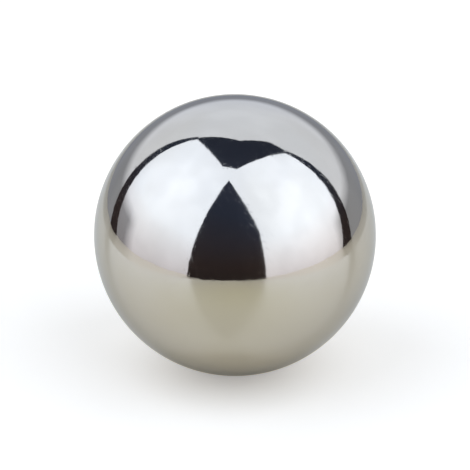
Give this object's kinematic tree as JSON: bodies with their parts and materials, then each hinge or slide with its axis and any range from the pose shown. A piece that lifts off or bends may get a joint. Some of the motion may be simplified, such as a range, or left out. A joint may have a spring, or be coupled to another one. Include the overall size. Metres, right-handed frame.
{
  "type": "sphere magnet",
  "caption": "Small solid ball of sintered rare-earth magnet, ground round and plated mirror bright, that clings by its poles to steel or to other such balls.",
  "frame": {"origin": "centre of the ball", "axes": "+Z along the axis of magnetisation, from the south pole to the north pole, so the poles are the highest and the lowest point; the ball is round, so X and Y are any two directions square to that axis, and -Y faces the picture's camera"},
  "size_m": [0.005, 0.005, 0.005],
  "materials": {
    "nickel_plating": "mirror bright nickel plating, slightly warm, with a faint uneven haze and fine rub marks, and with no edge or seam"
  },
  "bodies": {
    "root": {"sphere_magnet": "nickel_plating"}
  },
  "joints": []
}
